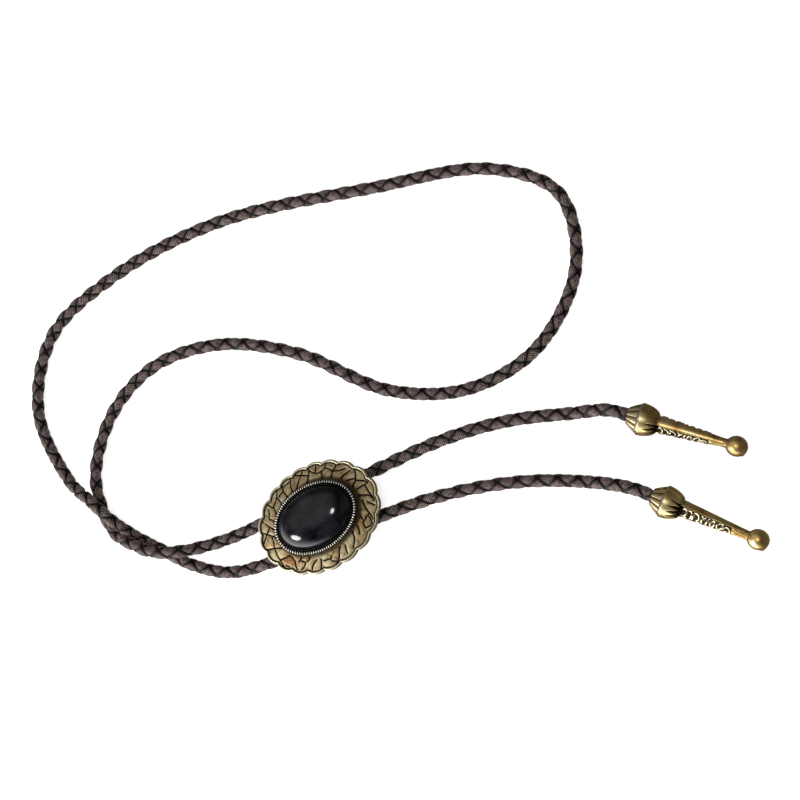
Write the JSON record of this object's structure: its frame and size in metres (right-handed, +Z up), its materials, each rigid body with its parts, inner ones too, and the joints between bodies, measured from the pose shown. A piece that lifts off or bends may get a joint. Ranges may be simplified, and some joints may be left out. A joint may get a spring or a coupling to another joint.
{
  "type": "bolo tie",
  "caption": "Braided leather bolo tie laid in a crossed loop, with a scalloped oval concho, a black cabochon in a milled setting, and cast ball-ended tips.",
  "frame": {"origin": "on the surface that the tie lies on, under the middle of the concho", "axes": "+Z up out of the stone, +X towards the tips, +Y towards the far side of the neck loop"},
  "size_m": [0.2816, 0.1496, 0.0178],
  "materials": {
    "antique_brass": "antiqued, engraved, satin",
    "bright_silver": "polished milled edge",
    "black_stone": "polished black stone",
    "clasp_brass": "satin",
    "dark_leather": "round braid, satin",
    "tip_brass": "antiqued casting, polished high spots"
  },
  "bodies": {
    "root": {"concho_plate": "antique_brass", "bezel_cup": "bright_silver", "stone": "black_stone", "slide_clasp": "clasp_brass", "cord": "dark_leather", "tip_upper": "tip_brass", "tip_lower": "tip_brass"}
  },
  "joints": []
}
